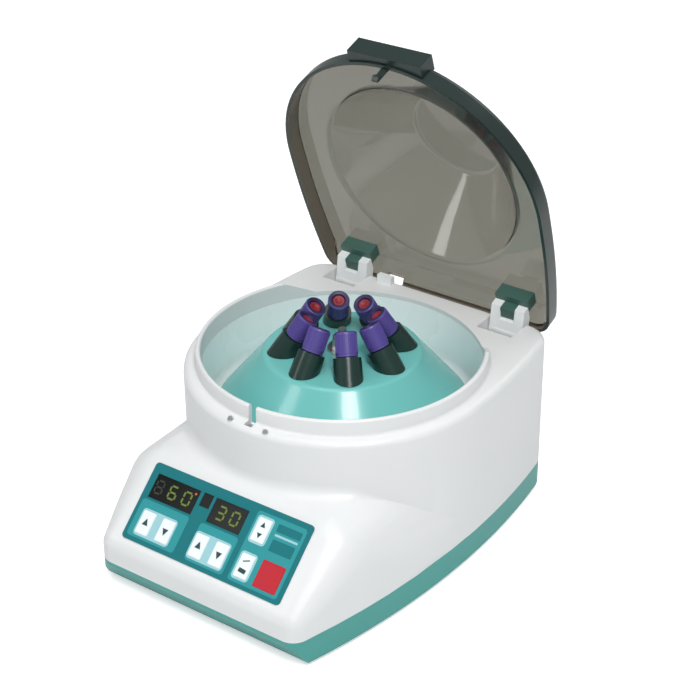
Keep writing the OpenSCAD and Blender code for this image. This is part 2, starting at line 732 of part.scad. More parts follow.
// One seven bar digit: a list of the bars that are lit, from the top bar clockwise, middle last
module digit(bars) {
  t = 1.3;
  v = digit_h / 2 - t / 2;
  spots = [[0, v, 0], [digit_w / 2, v / 2, 90], [digit_w / 2, -v / 2, 90], [0, -v, 0],
           [-digit_w / 2, -v / 2, 90], [-digit_w / 2, v / 2, 90], [0, 0, 0]];
  for (b = bars) translate([spots[b][0], spots[b][1]]) rotate(spots[b][2])
    square([(b % 3 == 0 ? digit_w : v) - t, t], center = true);
}

module display_digits() in_place() color("olivedrab") on_panel()
  translate([0, 0, label_t - 0.1]) linear_extrude(0.2) {
    translate([-45.5, upper_y]) digit([0, 2, 3, 4, 5, 6]);
    translate([-33, upper_y]) digit([0, 1, 2, 3, 4, 5]);
    translate([-2.4, upper_y]) digit([0, 1, 2, 3, 6]);
    translate([9.6, upper_y]) digit([0, 1, 2, 3, 4, 5]);
    translate([-27.6, upper_y + 5.5]) circle(0.8, $fn = 16);
  }

module key_body(x, y) on_panel() translate([x, y, -plug_t]) {
  linear_extrude(plug_t + key_rise - 0.4) children();
  translate([0, 0, plug_t + key_rise - 0.41]) linear_extrude(0.41, scale = 0.95) children();
}

module key_speed_up() in_place() color("white") key_body(speed_x - key_step, lower_y) arrow_key(0);
module key_speed_down() in_place() color("white") key_body(speed_x + key_step, lower_y) arrow_key(0);
module key_time_up() in_place() color("white") key_body(time_x - key_step, lower_y) arrow_key(0);
module key_time_down() in_place() color("white") key_body(time_x + key_step, lower_y) arrow_key(0);
module key_program() in_place() color("white") key_body(side_x0, upper_y) arrow_key(0);
module key_lid() in_place() color("white") key_body(side_x0, lower_y) arrow_key(0);
module key_stop() in_place() color("crimson") key_body(stop_x, lower_y) stop_shape(0);

module control_board() in_place() color("darkgreen") on_panel() {
  translate([0, 0, -8]) rounded_plate(label_w - 12, label_l - 12, 2, 1.6);
  translate([0, 0, -6.5]) linear_extrude(6.5 - plug_t - seat) windows(-0.5);
  for (x = [-58, -20, 22, 58]) translate([x, -0.8, -6.5]) cylinder(6.5 - seat, r = 2, $fn = 24);
}

module power_board() in_place() color("green") {
  z = foot_h + wall;
  translate([-78, -150, z + 5]) cube([70, 62, 1.6]);
  for (x = [-74, -12], y = [-146, -92]) translate([x, y, z]) cylinder(5.1, r = 3, $fn = 24);
  translate([-70, -140, z + 6.5]) cube([20, 30, 18]);
  translate([-35, -120, z + 6.5]) cylinder(20, r = 9, $fn = 32);
}

module transformer() in_place() color("saddlebrown") {
  z = foot_h + wall;
  translate([10, -145, z]) cube([56, 46, 38]);
  translate([20, -149, z + 8]) cube([36, 54, 22]);
}

module inlet_cut(g) translate([38 - g, rear_y - wall - 1, split_z + 12 - g])
  cube([30 + 2 * g, wall + 2, 22 + 2 * g]);

module rocker_cut(g) translate([76 - g, rear_y - wall - 1, split_z + 13 - g])
  cube([14 + 2 * g, wall + 2, 20 + 2 * g]);

module mains_inlet() in_place() color("black") difference() {
  union() {
    translate([38, rear_y - 20, split_z + 12]) cube([30, 20.5, 22]);
    translate([36, rear_y, split_z + 10]) cube([34, 1.6, 26]);
  }
  translate([41, rear_y - 16, split_z + 15.5]) cube([24, 20, 15]);
}

module inlet_pins() in_place() color("silver") for (p = [[-7, -1.5], [7, -1.5], [0, 2]])
  translate([53 + p[0] - 1, rear_y - 16, split_z + 23 + p[1] - 2]) cube([2, 12, 4]);

module rocker_frame() in_place() color("black") difference() {
  union() {
    translate([76, rear_y - 14, split_z + 13]) cube([14, 14.5, 20]);
    translate([74, rear_y, split_z + 11]) cube([18, 1.6, 24]);
  }
  translate([78, rear_y - 11, split_z + 15]) cube([10, 20, 16]);
}

module power_rocker() in_place() color("darkred")
  translate([78.3, rear_y - 4, split_z + 23]) rotate([90, 0, 90]) linear_extrude(9.4)
    intersection() {
      circle(7.6, $fn = 64);
      polygon([[-3, -8], [3.4, -8], [5.2, 0], [7.2, 8], [-3, 8]]);
    }

base_tub();
rubber_feet();
base_screws();
housing();
bowl_liner();
shaft_seal();
motor_plate();
vibration_mounts();
motor_can();
motor_bearings();
motor_shaft();
rotor_body();
rotor_sleeves();
sample_tubes();
tube_caps();
tube_stoppers();
rotor_nut();
lid_shell();
lid_rim();
lid_handle();
lid_hook();
hinge_arms();
hinge_clamps();
hinge_pins();
lid_sensor_tab();
latch_bracket();
latch_lever();
latch_pin();
latch_magnet();
ledge_screws();
keypad_label();
display_windows();
display_digits();
key_speed_up();
key_speed_down();
key_time_up();
key_time_down();
key_program();
key_lid();
key_stop();
control_board();
power_board();
transformer();
mains_inlet();
inlet_pins();
rocker_frame();
power_rocker();
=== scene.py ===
"""Looks of a small bench centrifuge: printed panel, ribbed tube caps, smoked lid, studio floor and light.

The CAD nodes carry the shapes. The classes below add the fine pieces that ride on them, give every
node its material and its soft shading, and set the camera where the photograph was taken from.
"""

import json
import logging
import math
from dataclasses import dataclass
from enum import Enum
from typing import Sequence

import bmesh
import bpy
from mathutils import Matrix, Vector
from mathutils.bvhtree import BVHTree

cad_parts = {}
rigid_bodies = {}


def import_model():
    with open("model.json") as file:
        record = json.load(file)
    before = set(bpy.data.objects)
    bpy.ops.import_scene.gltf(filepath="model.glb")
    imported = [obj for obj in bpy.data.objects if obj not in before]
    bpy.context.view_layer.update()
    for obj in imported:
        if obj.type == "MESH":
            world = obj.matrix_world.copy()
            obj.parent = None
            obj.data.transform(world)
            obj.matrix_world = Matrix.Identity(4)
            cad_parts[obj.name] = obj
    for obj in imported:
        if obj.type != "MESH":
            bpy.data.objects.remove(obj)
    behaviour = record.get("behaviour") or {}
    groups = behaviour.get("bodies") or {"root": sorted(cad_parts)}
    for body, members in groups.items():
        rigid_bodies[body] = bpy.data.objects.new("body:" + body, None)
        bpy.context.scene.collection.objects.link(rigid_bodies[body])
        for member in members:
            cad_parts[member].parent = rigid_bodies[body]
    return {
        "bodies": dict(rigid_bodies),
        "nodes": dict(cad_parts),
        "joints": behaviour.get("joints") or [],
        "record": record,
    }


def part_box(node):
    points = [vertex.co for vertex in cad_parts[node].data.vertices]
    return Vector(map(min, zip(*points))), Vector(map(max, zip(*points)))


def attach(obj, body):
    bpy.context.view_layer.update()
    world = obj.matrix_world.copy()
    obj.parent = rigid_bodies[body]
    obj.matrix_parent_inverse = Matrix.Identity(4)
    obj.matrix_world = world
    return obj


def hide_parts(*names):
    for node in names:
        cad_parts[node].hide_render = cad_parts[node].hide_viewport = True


log = logging.getLogger("centrifuge")

MM = 0.001
Colour = tuple[float, float, float]
Point2 = tuple[float, float]
Socket = bpy.types.NodeSocket


# Finishes


class Surface(Enum):
    """How a finish scatters light."""

    PLASTIC = "plastic"
    METAL = "metal"
    CLEAR = "clear"
    GLOW = "glow"


@dataclass(frozen=True)
class Finish:
    """Everything that one material needs.

    Args:
        name: the material's name.
        colour: linear base colour.
        roughness: middle roughness.
        surface: how it scatters light.
        grain: size of the moulded texture's grains, in millimetres.
        bump: height of the grains, in millimetres.
        drift: share by which the colour wanders over the surface.
        gloss: specular level, 0.5 for common plastic.
        coat: clear coat weight.
        clear: share of light that a clear finish lets through.
        glow: emission strength of a lit finish.
    """

    name: str
    colour: Colour
    roughness: float = 0.4
    surface: Surface = Surface.PLASTIC
    grain: float = 0.6
    bump: float = 0.01
    drift: float = 0.04
    gloss: float = 0.5
    coat: float = 0.0
    clear: float = 1.0
    glow: float = 0.0


FINISHES: dict[str, Finish] = {
    "white": Finish("WhiteHousing", (0.72, 0.725, 0.725), 0.34, grain=0.7, bump=0.012, drift=0.03),
    "bowl": Finish("WhiteBowl", (0.91, 0.935, 0.935), 0.28, grain=0.9, bump=0.008, drift=0.03),
    "teal": Finish("TealTub", (0.062, 0.315, 0.285), 0.36, grain=0.7, bump=0.014, drift=0.06, gloss=0.4),
    "turquoise": Finish("TurquoiseRotor", (0.15, 0.485, 0.46), 0.24, grain=1.4, bump=0.01, drift=0.05,
                        coat=0.25),
    "sleeve": Finish("DarkSleeve", (0.010, 0.032, 0.026), 0.26, grain=1.0, bump=0.01, drift=0.25),
    "cap": Finish("VioletCap", (0.085, 0.060, 0.27), 0.40, grain=0.5, bump=0.01, drift=0.2),
    # Darker violet for the caps' top faces: painted shade on the same violet plastic.
    "cap_top_painted_shade": Finish("VioletCapTopPaintedShade", (0.016, 0.012, 0.06), 0.45, grain=0.5, bump=0.01, drift=0.2),
    # The stoppers' own red, made darker as painted shade of the cap's recess they sit in.
    "stopper": Finish("RedStopper", (0.22, 0.012, 0.02), 0.5, grain=0.5, bump=0.02, drift=0.25),
    "glass": Finish("TubeGlass", (0.92, 0.95, 0.94), 0.04, Surface.CLEAR, grain=4.0, bump=0.0005,
                    drift=0.02),
    "steel": Finish("TurnedSteel", (0.62, 0.62, 0.61), 0.3, Surface.METAL, grain=0.3, bump=0.004),
    "rubber": Finish("BlackRubber", (0.02, 0.02, 0.02), 0.75, grain=0.4, bump=0.03),
    "smoke": Finish("SmokedPlate", (0.185, 0.178, 0.15), 0.07, Surface.CLEAR, grain=7.0, bump=0.002,
                    drift=0.06, clear=0.93),
    # The lid's rim is the lid's own smoked plastic; its dark colour is a painted dark reflection on the
    # outer faces.
    "rim": Finish("LidRimPaintedLightAndShade", (0.016, 0.028, 0.024), 0.22, grain=0.9, bump=0.008, drift=0.15),
    "dark": Finish("DarkHandle", (0.012, 0.026, 0.022), 0.30, grain=0.8, bump=0.012, drift=0.15),
    "hinge": Finish("WhiteHinge", (0.78, 0.80, 0.80), 0.34, grain=0.6, bump=0.01),
    "clamp": Finish("GreenClamp", (0.045, 0.115, 0.095), 0.34, grain=0.7, bump=0.012, drift=0.1),
    "label": Finish("TealFilm", (0.0, 0.150, 0.170), 0.46, grain=0.3, bump=0.006, drift=0.05, gloss=0.3),
    "field": Finish("TurquoiseFilm", (0.02, 0.270, 0.290), 0.46, grain=0.3, bump=0.006, drift=0.08,
                    gloss=0.3),
    "window": Finish("BlackWindow", (0.004, 0.006, 0.005), 0.16, grain=3.0, bump=0.001, gloss=0.12),
    "digit": Finish("OliveDigit", (0.105, 0.145, 0.018), 0.5, Surface.GLOW, grain=0.4, bump=0.001,
                    glow=0.35),
    "ghost": Finish("DarkDigit", (0.012, 0.016, 0.006), 0.4, grain=0.4, bump=0.001),
    "dot": Finish("OrangeDot", (0.50, 0.10, 0.02), 0.5, Surface.GLOW, grain=0.4, bump=0.001, glow=0.3),
    "key": Finish("WhiteKey", (0.78, 0.82, 0.83), 0.44, grain=0.3, bump=0.006),
    "pale": Finish("PaleInk", (0.30, 0.55, 0.59), 0.46, grain=0.3, bump=0.004),
    "red": Finish("RedKey", (0.47, 0.010, 0.022), 0.44, grain=0.3, bump=0.006, drift=0.06, gloss=0.35),
    "mark": Finish("DarkMark", (0.008, 0.05, 0.055), 0.5, grain=0.4, bump=0.003),
    "black": Finish("BlackPlastic", (0.015, 0.015, 0.016), 0.45, grain=0.5, bump=0.02),
    "motor": Finish("GreyMotor", (0.10, 0.10, 0.11), 0.4, grain=0.5, bump=0.01),
    "board": Finish("BoardGreen", (0.01, 0.07, 0.03), 0.4, grain=0.5, bump=0.01, drift=0.2),
    "core": Finish("IronCore", (0.06, 0.045, 0.035), 0.6, grain=0.5, bump=0.03, drift=0.2),
    "brass": Finish("PlatedBrass", (0.60, 0.45, 0.20), 0.3, Surface.METAL, grain=0.3, bump=0.004),
    "rocker": Finish("RedRocker", (0.30, 0.01, 0.012), 0.3, grain=0.6, bump=0.008),
}

# Lighter brown for the rim's inner faces: painted light through the smoked plastic, while the outer faces
# keep the dark painted reflection.
RIM_PAINTED_LIGHT: Colour = (0.145, 0.125, 0.10)
LID_OPEN_DEG = 71.2

NODE_FINISH: dict[str, str] = {
    "base_tub": "teal", "rubber_feet": "rubber", "base_screws": "steel", "housing": "white",
    "bowl_liner": "bowl", "shaft_seal": "rubber", "motor_plate": "steel", "vibration_mounts": "rubber",
    "motor_can": "motor", "motor_bearings": "steel", "motor_shaft": "steel", "rotor_body": "turquoise",
    "rotor_sleeves": "sleeve", "sample_tubes": "glass", "tube_caps": "cap", "tube_stoppers": "stopper",
    "rotor_nut": "steel", "lid_shell": "smoke", "lid_rim": "rim", "lid_handle": "dark", "lid_hook": "dark",
    "hinge_arms": "hinge", "hinge_clamps": "clamp", "hinge_pins": "steel", "lid_sensor_tab": "hinge",
    "latch_bracket": "steel", "latch_lever": "steel", "latch_pin": "steel", "latch_magnet": "brass",
    "ledge_screws": "steel", "keypad_label": "label", "display_windows": "window",
    "display_digits": "digit",
    "key_speed_up": "key", "key_speed_down": "key", "key_time_up": "key", "key_time_down": "key",
    "key_program": "key", "key_lid": "key", "key_stop": "red", "control_board": "board",
    "power_board": "board", "transformer": "core", "mains_inlet": "black", "inlet_pins": "brass",
    "rocker_frame": "black", "power_rocker": "rocker",
}


class Tree:
    """A small helper round a node tree."""

    def __init__(self, tree: bpy.types.NodeTree) -> None:
        """Keeps the tree."""
        self.tree = tree

    def add(self, kind: str, **values: object) -> bpy.types.Node:
        """Adds a node and sets its plain attributes.

        Args:
            kind: the node's type name.
            values: attributes to set on it.
        Returns:
            The new node.
        """
        node = self.tree.nodes.new(kind)
        for key, value in values.items():
            setattr(node, key, value)
        return node

    def link(self, source: Socket, target: Socket) -> None:
        """Joins two sockets."""
        self.tree.links.new(source, target)

    def first(self, kind: str) -> bpy.types.Node:
        """Finds the first node of a type."""
        return next(n for n in self.tree.nodes if n.type == kind)

    def math(self, operation: str, *terms: "Socket | float") -> Socket:
        """Adds a Math node.

        Args:
            operation: the node's operation.
            terms: sockets or numbers, in the order of its inputs.
        Returns:
            Its result.
        """
        node = self.add("ShaderNodeMath", operation=operation)
        for socket, value in zip(node.inputs, terms):
            if isinstance(value, Socket):
                self.link(value, socket)
            else:
                socket.default_value = value
        return node.outputs[0]


class MaterialLibrary:
    """Makes each material once, from one shared group for the moulded grain."""

    def __init__(self) -> None:
        """Starts without materials, with the shared group."""
        self.made: dict[str, bpy.types.Material] = {}
        self.grain_group = self._grain_group()

    @staticmethod
    def _grain_group() -> bpy.types.NodeTree:
        """Builds the group that lets a colour and a roughness wander and gives the height of the grain.

        Returns:
            The shader node group.
        """
        group = bpy.data.node_groups.new("MouldedGrain", "ShaderNodeTree")
        for name, kind in (("Colour", "NodeSocketColor"), ("Scale", "NodeSocketFloat"),
                           ("Drift", "NodeSocketFloat"), ("Roughness", "NodeSocketFloat")):
            group.interface.new_socket(name, in_out="INPUT", socket_type=kind)
        for name, kind in (("Colour", "NodeSocketColor"), ("Height", "NodeSocketFloat"),
                           ("Roughness", "NodeSocketFloat")):
            group.interface.new_socket(name, in_out="OUTPUT", socket_type=kind)
        t = Tree(group)
        given, out = t.add("NodeGroupInput"), t.add("NodeGroupOutput")
        place = t.add("ShaderNodeTexCoord")
        fine = t.add("ShaderNodeTexNoise")
        fine.inputs["Detail"].default_value = 3.0
        t.link(place.outputs["Object"], fine.inputs["Vector"])
        t.link(given.outputs["Scale"], fine.inputs["Scale"])
        broad = t.add("ShaderNodeTexNoise")
        broad.inputs["Scale"].default_value = 24.0
        broad.inputs["Detail"].default_value = 2.0
        t.link(place.outputs["Object"], broad.inputs["Vector"])
        swing = t.math("MULTIPLY", t.math("SUBTRACT", broad.outputs["Fac"], 0.5), given.outputs["Drift"])
        shade = t.add("ShaderNodeHueSaturation")
        t.link(given.outputs["Colour"], shade.inputs["Color"])
        t.link(t.math("ADD", swing, 1.0), shade.inputs["Value"])
        t.link(shade.outputs["Color"], out.inputs["Colour"])
        t.link(fine.outputs["Fac"], out.inputs["Height"])
        spread = t.math("MULTIPLY_ADD", broad.outputs["Fac"], 0.3, 0.85)
        t.link(t.math("MULTIPLY", spread, given.outputs["Roughness"]), out.inputs["Roughness"])
        return group

    def get(self, key: str) -> bpy.types.Material:
        """Gives the material of a named finish, made when it is first asked for."""
        if key not in self.made:
            self.made[key] = self._make(FINISHES[key])
        return self.made[key]

    def _make(self, finish: Finish) -> bpy.types.Material:
        """Builds the material of a finish.

        Args:
            finish: the finish.
        Returns:
            The material.
        """
        material = bpy.data.materials.new(finish.name)
        material.use_nodes = True
        t = Tree(material.node_tree)
        shader = t.first("BSDF_PRINCIPLED")
        grain = t.add("ShaderNodeGroup", node_tree=self.grain_group)
        grain.inputs["Colour"].default_value = (*finish.colour, 1.0)
        grain.inputs["Scale"].default_value = 1.0 / (finish.grain * MM)
        grain.inputs["Drift"].default_value = finish.drift
        grain.inputs["Roughness"].default_value = finish.roughness
        t.link(grain.outputs["Colour"], shader.inputs["Base Color"])
        t.link(grain.outputs["Roughness"], shader.inputs["Roughness"])
        bump = t.add("ShaderNodeBump")
        bump.inputs["Strength"].default_value = 0.35
        bump.inputs["Distance"].default_value = finish.bump * MM
        t.link(grain.outputs["Height"], bump.inputs["Height"])
        t.link(bump.outputs["Normal"], shader.inputs["Normal"])
        shader.inputs["IOR"].default_value = 1.49
        shader.inputs["Specular IOR Level"].default_value = finish.gloss
        shader.inputs["Coat Weight"].default_value = finish.coat
        shader.inputs["Coat Roughness"].default_value = 0.1
        if finish.surface is Surface.METAL:
            shader.inputs["Metallic"].default_value = 1.0
        elif finish.surface is Surface.CLEAR:
            shader.inputs["Transmission Weight"].default_value = finish.clear
            self._tint_shadow(t, shader, finish.colour)
        elif finish.surface is Surface.GLOW:
            shader.inputs["Emission Color"].default_value = (*finish.colour, 1.0)
            shader.inputs["Emission Strength"].default_value = finish.glow
        return material

    @staticmethod
    def _tint_shadow(t: Tree, shader: bpy.types.Node, colour: Colour) -> None:
        """Lets a clear finish cast a tinted shadow instead of a black one.

        Args:
            t: the material's tree.
            shader: its Principled shader.
            colour: the finish's colour.
        """
        path, mix = t.add("ShaderNodeLightPath"), t.add("ShaderNodeMixShader")
        through = t.add("ShaderNodeBsdfTransparent")
        through.inputs["Color"].default_value = (*(math.sqrt(c) for c in colour), 1.0)
        t.link(path.outputs["Is Shadow Ray"], mix.inputs["Fac"])
        t.link(shader.outputs[0], mix.inputs[1])
        t.link(through.outputs[0], mix.inputs[2])
        t.link(mix.outputs[0], t.first("OUTPUT_MATERIAL").inputs["Surface"])

    def paint_rim_light(self, key: str, inner: Colour, hinge: Vector, open_deg: float) -> None:
        """Paints light on the lid's rim: the faces that look at the middle of the lid get a lighter brown, a
        painted glow of light through the smoked plastic.

        Args:
            key: the finish to change.
            inner: the painted light colour of the inner faces.
            hinge: a point of the hinge axis, in metres.
            open_deg: the angle that the lid stands open at.
        """
        t = Tree(self.get(key).node_tree)
        shader, grain = t.first("BSDF_PRINCIPLED"), t.first("GROUP")
        turn = Matrix.Rotation(math.radians(open_deg), 3, "X")
        place = t.add("ShaderNodeTexCoord")
        shut = t.add("ShaderNodeMapping", vector_type="POINT")
        shut.inputs["Rotation"].default_value = (math.radians(open_deg), 0, 0)
        shut.inputs["Location"].default_value = hinge - turn @ hinge
        t.link(place.outputs["Object"], shut.inputs["Vector"])
        facing = t.add("ShaderNodeMapping", vector_type="VECTOR")
        facing.inputs["Rotation"].default_value = (math.radians(open_deg), 0, 0)
        t.link(place.outputs["Normal"], facing.inputs["Vector"])
        flat = t.add("ShaderNodeVectorMath", operation="MULTIPLY")
        flat.inputs[1].default_value = (1, 1, 0)
        t.link(shut.outputs[0], flat.inputs[0])
        away = t.add("ShaderNodeVectorMath", operation="NORMALIZE")
        t.link(flat.outputs[0], away.inputs[0])
        dot = t.add("ShaderNodeVectorMath", operation="DOT_PRODUCT")
        t.link(away.outputs[0], dot.inputs[0])
        t.link(facing.outputs[0], dot.inputs[1])
        # Mask of the faces that look at the lid's middle, where the painted light goes.
        painted_light_mask = t.add("ShaderNodeMapRange", interpolation_type="SMOOTHSTEP")
        painted_light_mask.inputs["From Min"].default_value = -0.1
        painted_light_mask.inputs["From Max"].default_value = -0.5
        t.link(dot.outputs["Value"], painted_light_mask.inputs["Value"])
        mix = t.add("ShaderNodeMix", data_type="RGBA")
        t.link(painted_light_mask.outputs[0], mix.inputs["Factor"])
        t.link(grain.outputs["Colour"], mix.inputs["A"])
        mix.inputs["B"].default_value = (*inner, 1.0)
        t.link(mix.outputs["Result"], shader.inputs["Base Color"])


# Pieces


class Piece:
    """One mesh object of the scene, which rides on a CAD body."""

    def __init__(self, name: str, body: str, material: bpy.types.Material, slot: str) -> None:
        """Starts an empty piece.

        Args:
            name: the object's name.
            body: the CAD body that it rides on.
            material: its material.
            slot: the record's slot that its finish is from; not used.
        """
        self.name, self.body, self.material, self.slot = name, body, material, slot
        self.mesh = bmesh.new()

    def take(self, part: bmesh.types.BMesh, place: Matrix) -> None:
        """Adds a part, moved to its place, and frees it.

        Args:
            part: a bmesh built about its own origin.
            place: where it goes, in metres.
        """
        bmesh.ops.transform(part, matrix=place, verts=part.verts)
        bmesh.ops.recalc_face_normals(part, faces=part.faces)
        data = bpy.data.meshes.new("part")
        part.to_mesh(data)
        part.free()
        self.mesh.from_mesh(data)
        bpy.data.meshes.remove(data)

    def finish(self, smooth_deg: float | None = None, replaces: Sequence[str] = ()) -> bpy.types.Object:
        """Makes the object, gives it its material and seats it on its body.

        Args:
            smooth_deg: edges below this angle are shaded smooth.
            replaces: CAD nodes that the piece stands for.
        Returns:
            The object.
        """
        data = bpy.data.meshes.new(self.name)
        self.mesh.to_mesh(data)
        self.mesh.free()
        data.materials.append(self.material)
        made = bpy.data.objects.new(self.name, data)
        bpy.context.scene.collection.objects.link(made)
        if smooth_deg is not None:
            for polygon in data.polygons:
                polygon.use_smooth = True
            data.set_sharp_from_angle(angle=math.radians(smooth_deg))
        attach(made, self.body)
        if replaces:
            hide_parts(*replaces)
        log.info("%s: %d faces on %s", self.name, len(data.polygons), self.body)
        return made


class Shapes:
    """Small forms made with bmesh operators, in millimetres about their own origin."""

    @staticmethod
    def _raise(mesh: bmesh.types.BMesh, height: float) -> bmesh.types.BMesh:
        """Extrudes a flat face upwards and brings the form to metres.

        Args:
            mesh: the flat face, in millimetres.
            height: how far it rises.
        Returns:
            The same bmesh.
        """
        made = bmesh.ops.extrude_face_region(mesh, geom=list(mesh.faces))
        top = [v for v in made["geom"] if isinstance(v, bmesh.types.BMVert)]
        bmesh.ops.translate(mesh, vec=(0, 0, height), verts=top)
        bmesh.ops.scale(mesh, vec=(MM, MM, MM), verts=mesh.verts)
        return mesh

    @classmethod
    def tile(cls, width: float, length: float, height: float, corner: float,
             lean: float = 0.0) -> bmesh.types.BMesh:
        """Builds a flat tile with rounded corners.

        Args:
            width: its size along X.
            length: its size along Y.
            height: its thickness.
            corner: radius of its corners.
            lean: turn about Z, in degrees.
        Returns:
            The bmesh, in metres.
        """
        mesh = bmesh.new()
        bmesh.ops.create_grid(mesh, x_segments=1, y_segments=1, size=0.5)
        bmesh.ops.scale(mesh, vec=(width, length, 1), verts=mesh.verts)
        bmesh.ops.bevel(mesh, geom=list(mesh.verts), offset=corner, offset_type="OFFSET", affect="VERTICES",
                        segments=5, profile=0.5, material=-1)
        bmesh.ops.rotate(mesh, matrix=Matrix.Rotation(math.radians(lean), 3, "Z"), verts=mesh.verts)
        return cls._raise(mesh, height)

    @classmethod
    def arrow(cls, half_width: float, half_length: float, height: float, up: bool) -> bmesh.types.BMesh:
        """Builds a plain triangle that points up or down its key.

        Args:
            half_width: half of its base.
            half_length: half of its length.
            height: its thickness.
            up: whether it points up.
        Returns:
            The bmesh, in metres.
        """
        mesh = bmesh.new()
        bmesh.ops.create_circle(mesh, cap_ends=True, segments=3, radius=1.0)
        mesh.verts.ensure_lookup_table()
        tip = mesh.verts[0].co
        wanted = math.radians(90 if up else -90)
        turn = Matrix.Rotation(wanted - math.atan2(tip.y, tip.x), 3, "Z")
        bmesh.ops.rotate(mesh, matrix=turn, verts=mesh.verts)
        reach = Vector((half_width / math.sin(math.radians(60)), half_length / 0.75, 1))
        bmesh.ops.scale(mesh, vec=reach, verts=mesh.verts)
        return cls._raise(mesh, height)

    @staticmethod
    def turned(profile: Sequence[Point2], steps: int, closed: bool = False) -> bmesh.types.BMesh:
        """Spins a profile about Z.

        Args:
            profile: points of radius and height, in millimetres.
            steps: faces round the axis.
            closed: whether the profile's last point joins its first, as a ring's does.
        Returns:
            The bmesh, in metres.
        """
        mesh = bmesh.new()
        points = [mesh.verts.new((r * MM, 0, z * MM)) for r, z in profile]
        after = points[1:] + points[:1] if closed else points[1:]
        edges = [mesh.edges.new(pair) for pair in zip(points, after)]
        bmesh.ops.spin(mesh, geom=points + edges, cent=(0, 0, 0), axis=(0, 0, 1), angle=2 * math.pi,
                       steps=steps, use_merge=True)
        bmesh.ops.remove_doubles(mesh, verts=mesh.verts, dist=1e-6)
        bmesh.ops.recalc_face_normals(mesh, faces=mesh.faces)
        return mesh


# The key panel


@dataclass(frozen=True)
class Print:
    """A rounded field that is printed on the panel, in millimetres from its middle.

    Args:
        x: its middle, to the right.
        v: its middle, up the slope.
        width: its size across.
        length: its size up the slope.
    """

    x: float
    v: float
    width: float
    length: float


